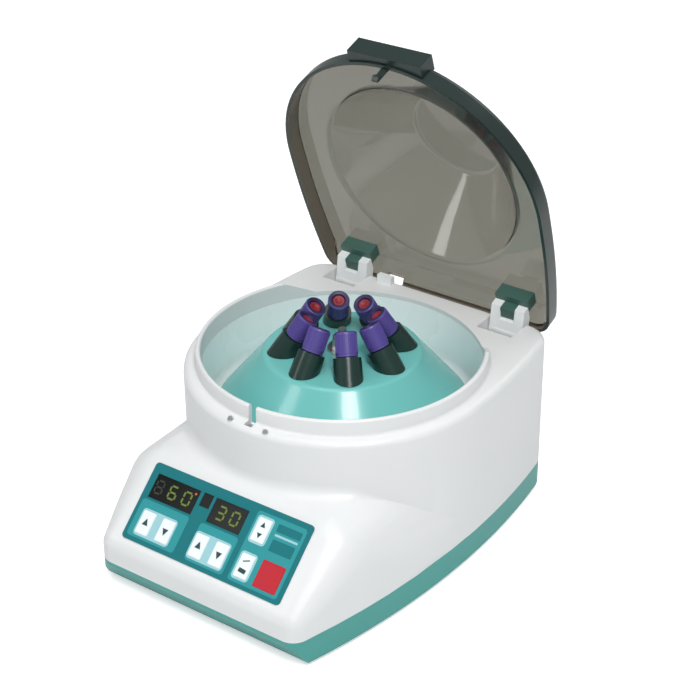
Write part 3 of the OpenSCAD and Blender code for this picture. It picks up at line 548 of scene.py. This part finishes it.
@dataclass
class KeyPanel:
    """The printed fields, stripes and marks of the sloped panel. Sizes are in millimetres and degrees."""

    library: MaterialLibrary
    tilt: float = 42.0
    label_t: float = 0.8
    key_top: float = 1.4
    ink: float = 0.05
    upper_y: float = 12.6
    lower_y: float = -14.0
    speed_x: float = -46.0
    time_x: float = 1.5
    side_x: float = 32.5
    step: float = 8.8
    digit_l: float = 10.5
    digit_w: float = 6.0
    bar: float = 1.3
    unlit_x: float = -57.6
    dot_x: float = -27.6
    dot_w: float = 1.7
    field_corner: float = 2.4
    frame_corner: float = 2.6
    keys_field: tuple[Print, ...] = (Print(-45.0, -12.0, 42.0, 27.6), Print(2.6, -12.0, 33.0, 27.6),
                                     Print(44.6, -0.6, 41.5, 51.0))
    blocks: tuple[Print, ...] = (Print(53.0, 18.6, 20.0, 5.6), Print(53.0, 6.2, 18.6, 8.4))
    stripe: Print = Print(53.0, 13.4, 19.0, 1.5)
    pair_frame: Point2 = (31.0, 20.0)
    side_frame: Point2 = (14.0, 20.0)

    def __post_init__(self) -> None:
        """Finds the panel's frame from the label's box."""
        a = math.radians(self.tilt)
        self.up = Vector((0, math.cos(a), math.sin(a)))
        self.out = Vector((0, -math.sin(a), math.cos(a)))
        low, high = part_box("keypad_label")
        self.origin = (low + high) / 2 - self.out * (self.label_t / 2 * MM)

    def at(self, x: float, v: float, h: float) -> Matrix:
        """Gives the frame of a place on the panel.

        Args:
            x: millimetres to the right of its middle.
            v: millimetres up the slope.
            h: millimetres out of the label's underside.
        Returns:
            A matrix whose local Z points out of the panel.
        """
        spot = self.origin + (Vector((1, 0, 0)) * x + self.up * v + self.out * h) * MM
        turn = Matrix((Vector((1, 0, 0)), self.up, self.out)).transposed().to_4x4()
        return Matrix.Translation(spot) @ turn

    def fields(self) -> None:
        """Prints the turquoise fields round the keys, and a pale frame round each pair and each side key."""
        piece = Piece("PanelFields", "machine", self.library.get("field"), "label_teal")
        for field in self.keys_field:
            tile = Shapes.tile(field.width, field.length, self.ink, self.field_corner)
            piece.take(tile, self.at(field.x, field.v, self.label_t))
        piece.finish()
        pale = Piece("PanelFrames", "machine", self.library.get("pale"), "label_teal")
        for x, v, size in ((self.speed_x, self.lower_y, self.pair_frame),
                           (self.time_x, self.lower_y, self.pair_frame),
                           (self.side_x, self.lower_y, self.side_frame),
                           (self.side_x, self.upper_y, self.side_frame)):
            tile = Shapes.tile(*size, self.ink, self.frame_corner)
            pale.take(tile, self.at(x, v, self.label_t + self.ink))
        pale.finish()

    def stripes(self) -> None:
        """Prints plain bands right of the tall key, in the place of the photograph's small print."""
        top = self.label_t + self.ink
        deep = Piece("PanelBlocks", "machine", self.library.get("label"), "label_teal")
        for block in self.blocks:
            deep.take(Shapes.tile(block.width, block.length, self.ink, 0.8), self.at(block.x, block.v, top))
        deep.finish()
        pale = Piece("PanelStripe", "machine", self.library.get("pale"), "key_white")
        band = self.stripe
        pale.take(Shapes.tile(band.width, band.length, self.ink, 0.5), self.at(band.x, band.v, top))
        pale.finish()

    def marks(self) -> None:
        """Prints plain arrows and bars on the keys."""
        ink = self.library.get("mark")
        for node, x, up in (("key_speed_up", self.speed_x - self.step, True),
                            ("key_time_up", self.time_x - self.step, True),
                            ("key_speed_down", self.speed_x + self.step, False),
                            ("key_time_down", self.time_x + self.step, False)):
            mark = Piece("Mark_" + node, node, ink, "label_teal")
            mark.take(Shapes.arrow(2.5, 2.6, self.ink, up), self.at(x, self.lower_y, self.key_top))
            mark.finish()
        pair = Piece("Mark_key_program", "key_program", ink, "label_teal")
        for v, up in ((3.4, True), (-3.4, False)):
            place = self.at(self.side_x, self.upper_y + v, self.key_top)
            pair.take(Shapes.arrow(2.0, 1.9, self.ink, up), place)
        pair.finish()
        lid = Piece("Mark_key_lid", "key_lid", ink, "label_teal")
        for v, size, corner, lean in ((-3.4, (6.0, 3.0), 0.5, -6), (3.8, (5.4, 0.9), 0.3, 22)):
            tile = Shapes.tile(*size, self.ink, corner, lean)
            lid.take(tile, self.at(self.side_x, self.lower_y + v, self.key_top))
        lid.finish()

    def displays(self) -> None:
        """Puts an unlit figure, all of its bars dark, and the small orange dot into the windows."""
        half, v = self.digit_w / 2, (self.digit_l - self.bar) / 2
        spots = ((0, v, False), (half, v / 2, True), (half, -v / 2, True), (0, -v, False),
                 (-half, -v / 2, True), (-half, v / 2, True), (0, 0, False))
        dark = Piece("DarkBars", "machine", self.library.get("ghost"), "window_black")
        for dx, dv, upright in spots:
            long = (v if upright else self.digit_w) - self.bar
            size = (self.bar, long) if upright else (long, self.bar)
            place = self.at(self.unlit_x + dx, self.upper_y + dv, self.label_t + self.ink)
            dark.take(Shapes.tile(*size, 2 * self.ink, 0.2), place)
        dark.finish()
        dot = Piece("OrangeDot", "machine", self.library.get("dot"), "digit_green")
        place = self.at(self.dot_x, self.upper_y + self.digit_l / 2 + 0.25, self.label_t + 0.08)
        dot.take(Shapes.tile(self.dot_w, self.dot_w, 0.12, 0.8), place)
        dot.finish()

    def build(self) -> None:
        """Builds everything that is printed on the panel."""
        self.fields()
        self.stripes()
        self.marks()
        self.displays()


# Tubes


@dataclass
class TubeSet:
    """The violet caps with their fine ribs, and the red stoppers. Sizes are in millimetres and degrees."""

    library: MaterialLibrary
    axis: Vector
    places: int = 8
    tilt: float = 33.0
    ring_r: float = 29.0
    mid_z: float = 158.0
    first: float = -4.0
    cap_r: float = 8.0
    cap_l: float = 18.0
    hole_r: float = 4.6
    ribs: int = 40
    lip: float = 0.14
    groove: float = 0.28

    def frames(self) -> list[Matrix]:
        """Finds the frames of the caps, whose local Z runs down each tube from the middle of its cap.

        Returns:
            One frame for each tube.
        """
        made = []
        for k in range(self.places):
            turn = Matrix.Rotation(math.radians(self.first + 360 * k / self.places), 4, "Z")
            move = Matrix.Translation((0, -self.ring_r * MM, self.mid_z * MM))
            lean = Matrix.Rotation(math.radians(180 - self.tilt), 4, "X")
            made.append(Matrix.Translation((self.axis.x, self.axis.y, 0)) @ turn @ move @ lean)
        return made

    def cap(self) -> bmesh.types.BMesh:
        """Builds one cap: a turned skirt with a stepped foot, and grooves pressed in between its ribs.

        Returns:
            The bmesh, about the middle of the cap.
        """
        half, r = self.cap_l / 2, self.cap_r
        profile = [(0.0, 8.0 - half), (self.hole_r, 8.0 - half), (self.hole_r, 1.0 - half),
                   (6.4, 0.35 - half), (r - 0.9, 0.35 - half), (r - 0.3, 0.7 - half), (r, 1.5 - half),
                   (r, 2.2 - half), (r, half - 3.2), (r, half - 2.4), (r - 0.25, half - 2.1),
                   (r - 0.25, half - 0.3), (r - 0.5, half), (6.75, half), (6.75, 9.0 - half),
                   (0.0, 9.0 - half)]
        mesh = Shapes.turned(profile, 2 * self.ribs)
        low, high = (2.2 - half) * MM, (half - 3.2) * MM
        grooves = []
        for face in mesh.faces:
            mid = face.calc_center_median()
            turn = math.atan2(mid.y, mid.x) % (2 * math.pi) / (math.pi / self.ribs)
            if low < mid.z < high and mid.xy.length > (r - 0.2) * MM and int(turn) % 2 == 0:
                grooves.append(face)
        bmesh.ops.inset_individual(mesh, faces=grooves, thickness=self.lip * MM, depth=-self.groove * MM)
        return mesh

    def caps(self) -> None:
        """Builds the ribbed caps in place of the plain ones."""
        piece = Piece("RibbedCaps", "rotor", self.library.get("cap"), "cap_violet")
        for frame in self.frames():
            piece.take(self.cap(), frame)
        piece.finish(28, ["tube_caps"])

    def painted_shade_crowns(self) -> None:
        """Builds the dark ring on top of each cap: painted shade on the cap's top face, which is the same
        violet plastic.
        """
        half = self.cap_l / 2
        profile = [(self.hole_r - 0.05, 0.95 - half), (self.hole_r + 0.2, 0.5 - half), (5.6, 0.2 - half),
                   (6.6, 0.05 - half), (self.cap_r - 1.2, -half), (self.cap_r - 0.75, 0.12 - half),
                   (self.cap_r - 0.8, 0.5 - half), (6.6, 0.6 - half), (self.hole_r - 0.05, 1.1 - half)]
        piece = Piece("CapCrownsPaintedShade", "rotor", self.library.get("cap_top_painted_shade"), "cap_violet")
        for frame in self.frames():
            piece.take(Shapes.turned(profile, 48, closed=True), frame)
        piece.finish(40)

    def stoppers(self) -> None:
        """Builds the red stoppers with their dimpled tops, in place of the plain ones."""
        half = self.cap_l / 2
        profile = [(0.0, 2.5 - half), (1.3, 2.4 - half), (2.1, 1.9 - half), (2.9, 1.5 - half),
                   (4.0, 1.55 - half), (4.4, 2.0 - half), (4.4, 5.6 - half), (5.3, 5.6 - half),
                   (5.3, 12.3 - half), (0.0, 12.3 - half)]
        piece = Piece("DimpledStoppers", "rotor", self.library.get("stopper"), "stopper_red")
        for frame in self.frames():
            piece.take(Shapes.turned(profile, 40), frame)
        piece.finish(40, ["tube_stoppers"])

    def build(self) -> None:
        """Builds the caps, the painted shade on their tops and the stoppers."""
        self.caps()
        self.painted_shade_crowns()
        self.stoppers()


# The housing's cove


@dataclass
class DrumCove:
    """The soft cove where the drum meets the shelf. Sizes are in millimetres and degrees."""

    library: MaterialLibrary
    housing: bpy.types.Object
    axis: Vector
    drum_r: float = 115.5
    cove_r: float = 9.0
    reach: float = 56.0
    above: float = 90.0
    end_r: float = 0.4
    fade: float = 2.2
    sink: float = 1.2
    steps: int = 96
    rings: int = 8

    def radius(self, angle: float) -> float:
        """Gives the cove's radius at an angle from the front, falling to nearly nothing at both ends."""
        share = min(1.0, (1.0 - abs(angle) / self.reach) * self.fade)
        return self.end_r + (self.cove_r - self.end_r) * share * share * (3 - 2 * share)

    def build(self) -> None:
        """Builds the cove as a thin curved strip, set on the surface below it."""
        tree = BVHTree.FromPolygons([v.co.copy() for v in self.housing.data.vertices],
                                    [tuple(p.vertices) for p in self.housing.data.polygons])
        piece = Piece("DrumCove", "machine", self.library.get("white"), "housing_white")
        strip = bmesh.new()
        bmesh.ops.create_grid(strip, x_segments=self.steps, y_segments=self.rings, size=1.0)
        centre = Vector((self.axis.x, self.axis.y, 0))
        for vert in strip.verts:
            angle = vert.co.x * self.reach
            c = self.radius(angle)
            way = Vector((math.sin(math.radians(angle)), -math.cos(math.radians(angle)), 0))
            start = centre + way * ((self.drum_r + c) * MM) + Vector((0, 0, self.above * MM))
            floor = tree.ray_cast(start, Vector((0, 0, -1)))[0].z
            bend = (vert.co.y + 1) / 4 * math.pi
            out = self.drum_r + c - c * math.cos(bend)
            rise = c - c * math.sin(bend)
            vert.co = centre + way * (out * MM) + Vector((0, 0, floor + rise * MM))
        lower = bmesh.ops.extrude_face_region(strip, geom=list(strip.faces))
        for vert in (g for g in lower["geom"] if isinstance(g, bmesh.types.BMVert)):
            inward = (centre - vert.co).xy.normalized()
            vert.co += Vector((inward.x, inward.y, -1)) * (self.sink * MM)
        piece.take(strip, Matrix.Identity(4))
        piece.finish(35)


# Dressing of the CAD nodes


class Dresser:
    """Gives every CAD node its material and its soft shading."""

    def __init__(self, library: MaterialLibrary, frame: dict) -> None:
        """Keeps the library and the frame, and builds the shading once.

        Args:
            library: where the materials come from.
        """
        self.library, self.frame = library, frame
        self.shading = self._shading_group()

    @staticmethod
    def _shading_group(limit_deg: float = 32.0, join_mm: float = 0.002) -> bpy.types.NodeTree:
        """Builds the modifier group that joins loose triangles and shades gentle edges smooth.

        Args:
            limit_deg: edges above this angle stay sharp.
            join_mm: corners closer than this are joined, in millimetres.
        Returns:
            The geometry node group.
        """
        group = bpy.data.node_groups.new("SoftShading", "GeometryNodeTree")
        group.interface.new_socket("Geometry", in_out="INPUT", socket_type="NodeSocketGeometry")
        group.interface.new_socket("Geometry", in_out="OUTPUT", socket_type="NodeSocketGeometry")
        t = Tree(group)
        given, out = t.add("NodeGroupInput"), t.add("NodeGroupOutput")
        merge = t.add("GeometryNodeMergeByDistance")
        merge.inputs["Distance"].default_value = join_mm * MM
        faces = t.add("GeometryNodeSetShadeSmooth", domain="FACE")
        edges = t.add("GeometryNodeSetShadeSmooth", domain="EDGE")
        angle = t.add("GeometryNodeInputMeshEdgeAngle")
        gentle = t.math("LESS_THAN", angle.outputs["Unsigned Angle"], math.radians(limit_deg))
        t.link(given.outputs[0], merge.inputs["Geometry"])
        t.link(merge.outputs["Geometry"], faces.inputs["Geometry"])
        t.link(faces.outputs["Geometry"], edges.inputs["Geometry"])
        t.link(gentle, edges.inputs["Shade Smooth"])
        t.link(edges.outputs["Geometry"], out.inputs[0])
        return group

    def soften(self, node: bpy.types.Object) -> None:
        """Adds the soft shading to a node.

        Args:
            node: the CAD node's object.
        """
        shade = node.modifiers.new("SoftShading", "NODES")
        shade.node_group = self.shading
        even = node.modifiers.new("EvenNormals", "WEIGHTED_NORMAL")
        even.mode, even.weight, even.keep_sharp = "FACE_AREA", 50, True

    def build(self) -> None:
        """Assigns the materials and the shading, and paints light on the inner faces of the lid's rim."""
        hinge = next(j for j in self.frame["joints"] if j["name"] == "lid_hinge")
        self.library.paint_rim_light("rim", RIM_PAINTED_LIGHT, Vector(hinge["pos_m"]), LID_OPEN_DEG)
        for name, key in NODE_FINISH.items():
            node = self.frame["nodes"][name]
            node.data.materials.clear()
            node.data.materials.append(self.library.get(key))
            self.soften(node)
        log.info("%d nodes dressed", len(NODE_FINISH))


# The room


@dataclass(frozen=True)
class SoftBox:
    """A soft light that looks at the machine.

    Args:
        name: the light's name.
        azimuth: where it hangs, in degrees from the front.
        elevation: how high it hangs, in degrees.
        width: its width, in metres.
        height: its height, in metres.
        watts: its power.
    """

    name: str
    azimuth: float
    elevation: float
    width: float
    height: float
    watts: float


SOFT_BOXES = (
    SoftBox("KeyBox", 45.0, 51.0, 0.5, 0.7, 22.0),
    SoftBox("TopBox", -10.0, 80.0, 1.3, 1.3, 11.0),
    SoftBox("LeftBox", -36.0, 34.0, 0.4, 0.55, 3.5),
    SoftBox("BackBox", 165.0, 42.0, 1.2, 0.9, 5.0),
)


@dataclass
class Studio:
    """Floor, light and camera. The camera's place was found from the photograph's ellipses and edges.

    Angles are in degrees, lengths in metres, and the lens in millimetres.
    """

    axis: Vector
    azimuth: float = 35.85
    elevation: float = 29.66
    roll: float = -0.73
    distance: float = 1.2616
    right: float = -0.00359
    up: float = 0.00267
    target_z: float = 0.143
    lens: float = 92.81
    floor_half: float = 6.0
    lamp_reach: float = 1.9

    @staticmethod
    def toward(azimuth: float, elevation: float) -> Vector:
        """Gives the direction at an azimuth from the front and an elevation, in degrees."""
        a, p = math.radians(azimuth), math.radians(elevation)
        return Vector((math.sin(a) * math.cos(p), -math.cos(a) * math.cos(p), math.sin(p)))

    def camera(self) -> None:
        """Sets the camera at the photograph's place."""
        a, roll = math.radians(self.azimuth), math.radians(self.roll)
        back = self.toward(self.azimuth, self.elevation)
        right = Vector((math.cos(a), math.sin(a), 0))
        up = back.cross(right)
        across = right * math.cos(roll) + up * math.sin(roll)
        above = up * math.cos(roll) - right * math.sin(roll)
        target = Vector((self.axis.x, self.axis.y, self.target_z))
        place = target + back * self.distance + across * self.right + above * self.up
        data = bpy.data.cameras.new("PhotoCamera")
        data.sensor_fit, data.sensor_width, data.lens = "AUTO", 36.0, self.lens
        data.clip_start, data.clip_end = 0.05, 20
        camera = bpy.data.objects.new("PhotoCamera", data)
        bpy.context.scene.collection.objects.link(camera)
        camera.matrix_world = Matrix.Translation(place) @ Matrix((across, above, back)).transposed().to_4x4()
        bpy.context.scene.camera = camera

    def floor(self) -> None:
        """Lays a pale sheet under the machine."""
        sheet = bmesh.new()
        bmesh.ops.create_grid(sheet, x_segments=1, y_segments=1, size=self.floor_half)
        data = bpy.data.meshes.new("Floor")
        sheet.to_mesh(data)
        sheet.free()
        floor = bpy.data.objects.new("Floor", data)
        bpy.context.scene.collection.objects.link(floor)
        data.materials.append(self._floor_material())

    @staticmethod
    def _seen(t: Tree) -> Socket:
        """Gives 1 for rays from the camera and for those that glass lets through."""
        path = t.add("ShaderNodeLightPath")
        return t.math("MAXIMUM", path.outputs["Is Camera Ray"], path.outputs["Is Transmission Ray"])

    def _floor_material(self) -> bpy.types.Material:
        """Builds a floor that reads nearly white and keeps the machine's soft shadow.

        Returns:
            The floor's material.
        """
        material = bpy.data.materials.new("PaleFloor")
        material.use_nodes = True
        t = Tree(material.node_tree)
        shader = t.first("BSDF_PRINCIPLED")
        shader.inputs["Base Color"].default_value = (0.86, 0.86, 0.86, 1.0)
        shader.inputs["Roughness"].default_value = 0.9
        shader.inputs["Specular IOR Level"].default_value = 0.1
        shader.inputs["Emission Color"].default_value = (1.0, 1.0, 1.0, 1.0)
        t.link(t.math("MULTIPLY", self._seen(t), 0.5), shader.inputs["Emission Strength"])
        return material

    def world(self) -> None:
        """Sets a pale room that lights the machine softly and reads white behind it."""
        world = bpy.data.worlds.new("PaleRoom")
        bpy.context.scene.world = world
        world.use_nodes = True
        t = Tree(world.node_tree)
        dull = t.first("BACKGROUND")
        dull.inputs["Color"].default_value = (0.92, 0.97, 1.0, 1.0)
        dull.inputs["Strength"].default_value = 0.36
        bright = t.add("ShaderNodeBackground")
        bright.inputs["Color"].default_value = (1.0, 1.0, 1.0, 1.0)
        bright.inputs["Strength"].default_value = 1.0
        mix = t.add("ShaderNodeMixShader")
        t.link(self._seen(t), mix.inputs["Fac"])
        t.link(dull.outputs[0], mix.inputs[1])
        t.link(bright.outputs[0], mix.inputs[2])
        t.link(mix.outputs[0], t.first("OUTPUT_WORLD").inputs["Surface"])

    def lights(self) -> None:
        """Hangs the soft lights above the camera, overhead, at the left and behind."""
        centre = Vector((self.axis.x, self.axis.y, self.target_z))
        for box in SOFT_BOXES:
            way = self.toward(box.azimuth, box.elevation)
            data = bpy.data.lights.new(box.name, "AREA")
            data.shape, data.size, data.size_y = "RECTANGLE", box.width, box.height
            data.energy = box.watts
            light = bpy.data.objects.new(box.name, data)
            bpy.context.scene.collection.objects.link(light)
            light.location = centre + way * self.lamp_reach
            light.rotation_mode = "QUATERNION"
            light.rotation_quaternion = (-way).to_track_quat("-Z", "Y")

    def build(self) -> None:
        """Builds the camera, the floor, the room and the lights."""
        self.camera()
        self.floor()
        self.world()
        self.lights()
        bpy.context.scene.view_settings.view_transform = "Standard"


def main(frame: dict) -> None:
    """Builds the whole scene round the loaded frame.
    """
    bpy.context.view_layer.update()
    rotor = next(j for j in frame["joints"] if j["name"] == "rotor_spin")
    axis = Vector(rotor["pos_m"])
    library = MaterialLibrary()
    Studio(axis).build()
    Dresser(library, frame).build()
    DrumCove(library, frame["nodes"]["housing"], axis).build()
    KeyPanel(library).build()
    TubeSet(library, axis).build()


if __name__ == "__main__":
    logging.basicConfig(level=logging.INFO, format="%(name)s: %(message)s")
    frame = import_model()
    main(frame)
